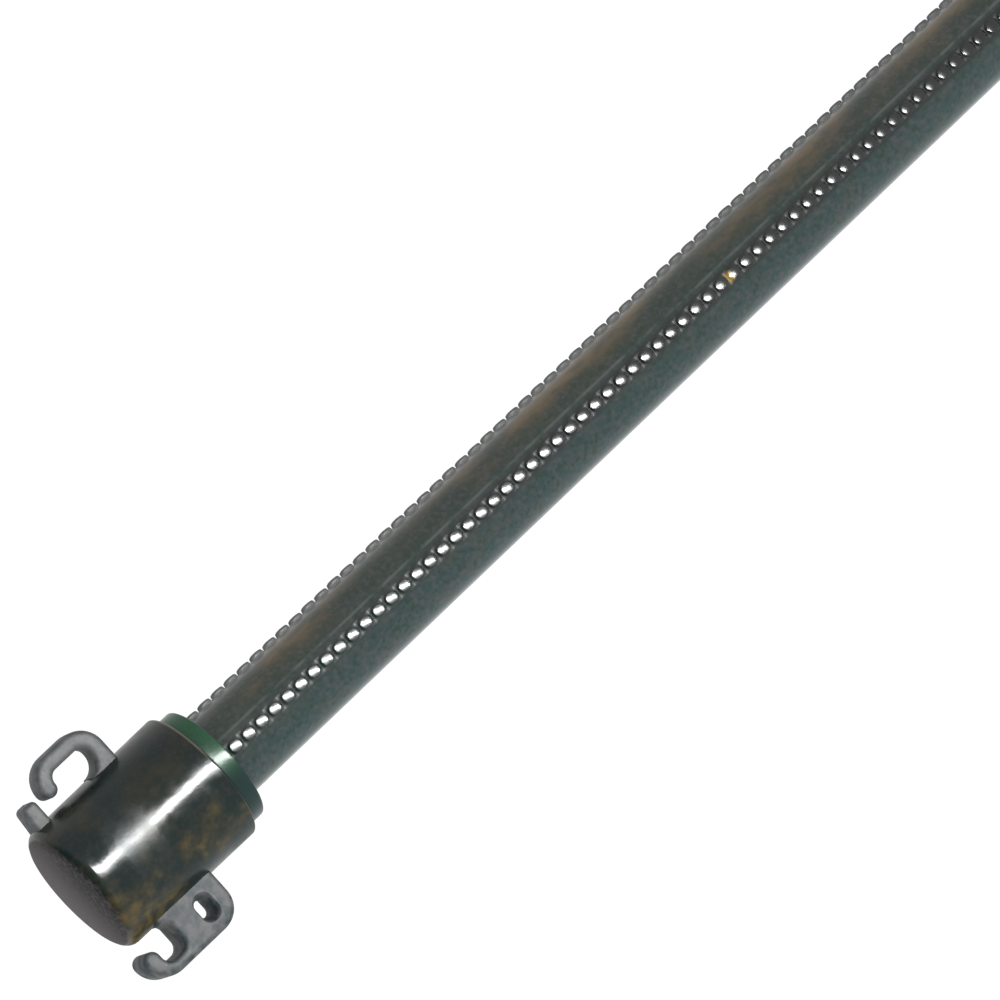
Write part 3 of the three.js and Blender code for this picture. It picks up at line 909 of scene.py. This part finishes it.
def jacket_plastic():
    finish = Finish("jacket_plastic", 0.45)
    x, y, z = finish.axes()[:3]
    turn = finish.sum("ARCTAN2", y, x)
    off_row = finish.off(turn, FIRST_ROW)
    rise = finish.attribute("rise")
    crevice = finish.attribute("crevice")
    cloud = finish.noise(70, 4, (1, 1, 0.5))
    mottle = finish.noise(420, 4, (1, 1, 0.6), (3, 1, 2))
    speckle = finish.noise(1100, 3, shift=(0, 7, 3))
    grain = finish.noise(2600, 2)
    draw_marks = finish.noise(900, 3, (1, 1, 0.02))

    # Greener on the side of the open hook, bluer on the side of the eye lug
    colour = finish.blend(finish.zone(x, JACKET_SIDES), JACKET_BLUER, JACKET_GREENER)
    colour = finish.blend(finish.span(mottle, 0.42, 0.72, 0.0, 0.7), colour, JACKET_MOTTLE)
    colour = finish.blend(finish.span(speckle, 0.50, 0.66, 0.0, 0.8), colour, JACKET_PALE_SPECKS)
    colour = finish.blend(finish.span(speckle, 0.48, 0.32, 0.0, 0.9), colour, JACKET_DARK_SPECKS)

    # Clouds of brown soil on the side of the open hook
    soil = finish.sum("MULTIPLY", finish.zone(x, JACKET_SOIL_SIDE), finish.span(cloud, 0.44, 0.62))
    soil = finish.sum("MULTIPLY", soil, finish.span(mottle, 0.30, 0.62, 0.35, 0.95))
    colour = finish.blend(soil, colour, JACKET_SOIL)

    # A pale line that the die left along the stake
    die_line = finish.span(finish.off(turn, DIE_LINE_TURN), *DIE_LINE_HALF_WIDTH, 1.0, 0.0)
    die_line = finish.sum("MULTIPLY", die_line, finish.span(mottle, 0.3, 0.6, 0.0, 0.8))
    colour = finish.blend(die_line, colour, DIE_LINE)

    # Painted shade lies along the front row and, duller, between the bumps, and darkens down the
    # stake
    row_shade = finish.span(off_row, *ROW_SHADE_HALF_WIDTH, 0.9, 0.0)
    row_shade = finish.sum("MAXIMUM", row_shade, crevice)
    row_shade = finish.sum("MULTIPLY", row_shade, finish.zone(z, ROW_SHADE_LEVELS, 0.4, 1.0))
    colour = finish.blend(row_shade, colour, ROW_SHADE)

    # A speck of yellow earth between two bumps of the front row
    speck = finish.zone(finish.off(z, SPECK_LEVEL * MM), SPECK_HALF_LENGTH, 1.0, 0.0)
    speck = finish.sum("MULTIPLY", speck, finish.span(off_row, *SPECK_HALF_WIDTH, 1.0, 0.0))
    colour = finish.blend(speck, colour, YELLOW_EARTH)

    # Painted light: the row on the side of the open hook, at the edge of the stake, is painted
    # pale as a glow of light round that edge, most of all at its foot, and it is dull
    lit_fringe = finish.zone(x, LIT_FRINGE_SIDE)
    colour = finish.blend(lit_fringe, colour, finish.blend(rise, LIT_FRINGE_FOOT, LIT_FRINGE_CREST))

    # The crests, the gaps between the bumps and the pale row at the edge shine less than the plain
    # jacket
    roughness = finish.span(mottle, 0.3, 0.7, 0.13, 0.18)
    roughness = finish.sum("MULTIPLY_ADD", finish.span(rise, 0.5, 0.9), 0.08, roughness)
    roughness = finish.sum("MULTIPLY_ADD", crevice, 0.8, roughness)
    roughness = finish.sum("MULTIPLY_ADD", lit_fringe, 0.3, roughness)
    normal = finish.bump(grain, 0.006)
    normal = finish.bump(draw_marks, 0.01, normal)
    return finish.done(colour, roughness, normal)


def cap_plastic():
    finish = Finish("cap_plastic", 0.25)
    x, y, z = finish.axes()[:3]
    reach = finish.sum("ADD", finish.sum("MULTIPLY", x, x), finish.sum("MULTIPLY", y, y))
    reach = finish.sum("SQRT", reach)
    hooks = finish.attribute("hook")
    cloud = finish.noise(110, 4, shift=(1, 5, 2))
    mottle = finish.noise(480, 4)
    speckle = finish.noise(1100, 3, shift=(2, 0, 5))
    grain = finish.noise(2400, 2)
    wave = finish.noise(150, 1, (1, 1, 1.6), (4, 0, 1))
    smear = finish.noise(110, 1, (0.4, 0.4, 1), (0, 2, 0))

    # Nearly black, with clouds of brown soil that thicken towards the eye lug
    colour = finish.blend(finish.span(cloud, 0.35, 0.65), CAP_DARK, CAP_LIGHT)
    colour = finish.blend(finish.span(speckle, 0.48, 0.68, 0.0, 0.7), colour, CAP_SPECKS)
    soil = finish.span(mottle, 0.34, 0.66, 0.2, 1.0)
    soil = finish.sum("MULTIPLY", soil, finish.span(cloud, 0.42, 0.62))
    soil = finish.sum("MULTIPLY", soil, finish.zone(x, CAP_SOIL_SIDE, 0.15, 0.75))
    colour = finish.blend(soil, colour, CAP_SOIL)

    # The hooks are greyer and duller than the turned side, and the lug is stained
    hook_colour = finish.blend(finish.span(mottle, 0.36, 0.64), HOOK_DARK, HOOK_LIGHT)
    flecks = finish.span(speckle, 0.46, 0.66, 0.0, 0.4)
    hook_colour = finish.blend(flecks, hook_colour, HOOK_SPECKS)
    stain = finish.span(mottle, 0.60, 0.36, 0.1, 0.75)
    stain = finish.sum("MULTIPLY", finish.zone(x, LUG_SIDE), stain)
    hook_colour = finish.blend(stain, hook_colour, HOOK_STAIN)
    colour = finish.blend(hooks, colour, hook_colour)

    # The crown is matt, with painted shade along its front edge and painted light towards the back
    crown = finish.zone(z, CROWN_LEVELS)
    crown = finish.sum("MULTIPLY", crown, finish.zone(reach, CROWN_REACHES))
    crown_colour = finish.blend(finish.zone(y, CROWN_SHADING_DEPTH), CROWN_SHADED_FRONT, CROWN_LIT_BACK)
    flecks = finish.span(speckle, 0.46, 0.62, 0.0, 0.5)
    crown_colour = finish.blend(flecks, crown_colour, CROWN_SPECKS)
    colour = finish.blend(crown, colour, crown_colour)

    # The mouth has a painted highlight, a pale edge, on the side of the open hook
    mouth = finish.zone(z, MOUTH_LEVELS)
    mouth = finish.sum("MULTIPLY", mouth, finish.zone(x, MOUTH_HIGHLIGHT_SIDE, 0.0, 0.8))
    colour = finish.blend(mouth, colour, MOUTH_HIGHLIGHT)

    # Smears and both flanks shine less than the front
    roughness = finish.span(mottle, 0.3, 0.75, 0.13, 0.22)
    roughness = finish.sum("ADD", roughness, finish.span(smear, 0.46, 0.60, 0.0, 0.14))
    flanks = finish.zone(finish.off(x, CAP_FRONT * MM), CAP_FLANKS, 0.0, 0.12)
    roughness = finish.sum("ADD", roughness, flanks)
    roughness = finish.sum("MAXIMUM", roughness, finish.sum("MULTIPLY", hooks, 0.6))
    roughness = finish.sum("MAXIMUM", roughness, finish.sum("MULTIPLY", crown, 0.7))
    normal = finish.bump(wave, 0.08)
    normal = finish.bump(grain, 0.012, normal)
    return finish.done(colour, roughness, normal)


def collar_plastic():
    finish = Finish("collar_plastic", 0.2)
    x = finish.axes()[0]
    cloud = finish.noise(160, 3)
    grain = finish.noise(2200, 2)
    green = finish.blend(finish.span(cloud, 0.35, 0.65), COLLAR_YELLOWER, COLLAR_BLUER)
    # Painted shade: the side of the collar towards the eye lug is darker
    colour = finish.blend(finish.zone(x, COLLAR_SHADE_SIDES), COLLAR_SHADED_SIDE, green)
    colour = finish.blend(finish.span(grain, 0.4, 0.8, 0.0, 0.4), colour, COLLAR_SPECKS)
    roughness = finish.span(cloud, 0.3, 0.7, 0.20, 0.30)
    return finish.done(colour, roughness, finish.bump(grain, 0.015))


def spike_plastic():
    finish = Finish("spike_plastic", 0.25)
    cloud = finish.noise(90, 4)
    scuffs = finish.noise(700, 3, (1, 1, 0.08))
    grain = finish.noise(2400, 2)
    colour = finish.blend(finish.span(cloud, 0.35, 0.65), SPIKE_DARK, SPIKE_LIGHT)
    colour = finish.blend(finish.span(scuffs, 0.55, 0.72, 0.0, 0.5), colour, SPIKE_SCUFFS)
    roughness = finish.span(scuffs, 0.4, 0.7, 0.36, 0.55)
    normal = finish.bump(scuffs, 0.03)
    return finish.done(colour, roughness, finish.bump(grain, 0.02, normal))


def bare_steel():
    finish = Finish("bare_steel", 0.5)
    finish.shader.inputs["Metallic"].default_value = 1.0
    draw_marks = finish.noise(1500, 3, (1, 1, 0.015))
    cloud = finish.noise(60, 3)
    colour = finish.blend(finish.span(cloud, 0.35, 0.7), STEEL_LIGHT, STEEL_DARK)
    roughness = finish.span(draw_marks, 0.3, 0.7, 0.28, 0.45)
    return finish.done(colour, roughness, finish.bump(draw_marks, 0.01))


def coat(piece, material):
    piece.data.materials.clear()
    piece.data.materials.append(material)


# Pieces

jacket_finish = jacket_plastic()
jacket = make_jacket(jacket_finish)
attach(jacket, "stake")
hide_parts("plastic_jacket")

spike = make_spike()
coat(spike, spike_plastic())
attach(spike, "stake")
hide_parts("ground_spike")

collar = make_collar()
coat(collar, collar_plastic())
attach(collar, "collar")
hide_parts("collar_bush")

cap = make_cap()
coat(cap, cap_plastic())
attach(cap, "cap")
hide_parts("hook_cap")

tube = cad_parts["steel_tube"]
steel = bare_steel()
for material_slot in tube.material_slots:
    material_slot.material = steel


# Floor, light and camera, in metres

FLOOR_LEVEL = -0.2
FLOOR_RADIUS = 6.0
FLOOR_SEGMENTS = 96
FLOOR_PAINT = tone(0.42, 0.42, 0.42)
FLOOR_GLOW = 0.78
SOFT_LIGHT = 0.62
# The heights between which the world falls off in reflections, and its strength at each
OVERHEAD = (0.35, 0.85, 1.0, 0.08)

STRIP_PLACE = (0.0142, -0.169, 0.614)
STRIP_AIM = (0.0, 0.0, 0.614)
STRIP_SIZE = (0.031, 0.232)
STRIP_RADIANCE = 92
STRIP_LEAN = math.radians(15)
SIDE_PLACE = (-1.0, -1.2, 1.0)
SIDE_AIM = (0.0, 0.0, 0.45)
SIDE_SIZE = (0.9, 0.9)
SIDE_RADIANCE = 5

CAMERA_TURN = math.radians(6.0)
CAMERA_RISE = math.radians(15)
CAMERA_ROLL = math.radians(-133.60)
CAMERA_MARK = (0, 0, 0.6704)  # the place on the axis that the camera is set out from
CAMERA_DISTANCE = 1.5
PICTURE_SHIFT = (0.04958, 0.04593)  # of the middle of the picture from the mark, right and up
SENSOR_WIDTH = 36  # millimetres
FOCAL_LENGTH = 324  # millimetres


def make_floor():
    """A matt floor that glows where the camera or a reflection sees it."""
    bm = bmesh.new()
    bmesh.ops.create_circle(bm, cap_ends=True, radius=FLOOR_RADIUS, segments=FLOOR_SEGMENTS)
    bmesh.ops.translate(bm, verts=bm.verts, vec=(0, 0, FLOOR_LEVEL))
    mesh = bpy.data.meshes.new("floor")
    bm.to_mesh(mesh)
    bm.free()
    floor = new_piece("floor", mesh)
    paint = bpy.data.materials.new("floor_paint")
    paint.use_nodes = True
    nodes, links = paint.node_tree.nodes, paint.node_tree.links
    nodes.remove(nodes["Principled BSDF"])
    matt = nodes.new("ShaderNodeBsdfDiffuse")
    matt.inputs["Color"].default_value = FLOOR_PAINT
    glow = nodes.new("ShaderNodeEmission")
    path = nodes.new("ShaderNodeLightPath")
    seen = nodes.new("ShaderNodeMath")
    seen.operation = "MAXIMUM"
    links.new(path.outputs["Is Camera Ray"], seen.inputs[0])
    links.new(path.outputs["Is Glossy Ray"], seen.inputs[1])
    level = nodes.new("ShaderNodeMath")
    level.operation = "MULTIPLY"
    links.new(seen.outputs[0], level.inputs[0])
    level.inputs[1].default_value = FLOOR_GLOW
    links.new(level.outputs[0], glow.inputs["Strength"])
    both = nodes.new("ShaderNodeAddShader")
    links.new(matt.outputs[0], both.inputs[0])
    links.new(glow.outputs[0], both.inputs[1])
    links.new(both.outputs[0], nodes["Material Output"].inputs["Surface"])
    mesh.materials.append(paint)


def make_world():
    """White where it is seen, darker overhead in reflections, and soft as a light."""
    world = bpy.data.worlds.new("studio")
    bpy.context.scene.world = world
    world.use_nodes = True
    nodes, links = world.node_tree.nodes, world.node_tree.links
    path = nodes.new("ShaderNodeLightPath")
    place = nodes.new("ShaderNodeTexCoord")
    axes = nodes.new("ShaderNodeSeparateXYZ")
    links.new(place.outputs["Generated"], axes.inputs[0])
    overhead = nodes.new("ShaderNodeMapRange")
    overhead.interpolation_type = "SMOOTHSTEP"
    for plug, value in zip(overhead.inputs[1:5], OVERHEAD):
        plug.default_value = value
    links.new(axes.outputs["Z"], overhead.inputs["Value"])

    def choose(share, a, b):
        node = nodes.new("ShaderNodeMix")
        links.new(share, node.inputs[0])
        for plug, value in zip(node.inputs[2:4], (a, b)):
            wire(links, value, plug)
        return node.outputs[0]

    strength = choose(path.outputs["Is Glossy Ray"], SOFT_LIGHT, overhead.outputs[0])
    strength = choose(path.outputs["Is Transmission Ray"], strength, 1.0)
    strength = choose(path.outputs["Is Camera Ray"], strength, 1.0)
    links.new(strength, nodes["Background"].inputs["Strength"])
    nodes["Background"].inputs["Color"].default_value = tone(1, 1, 1)


def add_light(name, place, aim, size, radiance, lean=0.0):
    width, height = size
    light = bpy.data.lights.new(name, "AREA")
    light.shape = "RECTANGLE"
    light.size = width
    light.size_y = height
    light.energy = radiance * math.pi * width * height
    lamp = new_piece(name, light)
    lamp.location = place
    facing = (Vector(aim) - Vector(place)).to_track_quat("-Z", "Y")
    lamp.rotation_euler = (facing @ Quaternion((0, 0, 1), -lean)).to_euler()
    lamp.visible_camera = False
    return lamp


def make_lights():
    # A strip close to the stake makes the bright streak and the shine on the bumps
    strip = add_light(
        "strip_light", STRIP_PLACE, STRIP_AIM, STRIP_SIZE, STRIP_RADIANCE, STRIP_LEAN,
    )
    strip.visible_diffuse = False
    # A soft light from the side of the eye lug leaves no shine
    side = add_light("side_light", SIDE_PLACE, SIDE_AIM, SIDE_SIZE, SIDE_RADIANCE)
    side.visible_glossy = False


def make_camera():
    level = math.cos(CAMERA_RISE)
    back = Vector((
        math.sin(CAMERA_TURN) * level, -math.cos(CAMERA_TURN) * level, math.sin(CAMERA_RISE),
    ))
    right = Vector((math.cos(CAMERA_TURN), math.sin(CAMERA_TURN), 0))
    up = back.cross(right)
    picture_right = math.cos(CAMERA_ROLL) * right + math.sin(CAMERA_ROLL) * up
    picture_up = -math.sin(CAMERA_ROLL) * right + math.cos(CAMERA_ROLL) * up
    mark = Vector(CAMERA_MARK)
    place = mark + back * CAMERA_DISTANCE
    aim = mark + picture_right * PICTURE_SHIFT[0] + picture_up * PICTURE_SHIFT[1]
    axis_z = (place - aim).normalized()
    axis_x = picture_up.cross(axis_z).normalized()
    axis_y = axis_z.cross(axis_x)
    turned = Matrix((axis_x, axis_y, axis_z)).transposed().to_4x4()
    lens = bpy.data.cameras.new("camera")
    lens.sensor_width = SENSOR_WIDTH
    lens.lens = FOCAL_LENGTH
    camera = new_piece("camera", lens)
    camera.matrix_world = Matrix.Translation(place) @ turned
    bpy.context.scene.camera = camera


make_floor()
make_world()
make_lights()
make_camera()
bpy.context.scene.view_settings.view_transform = "Standard"
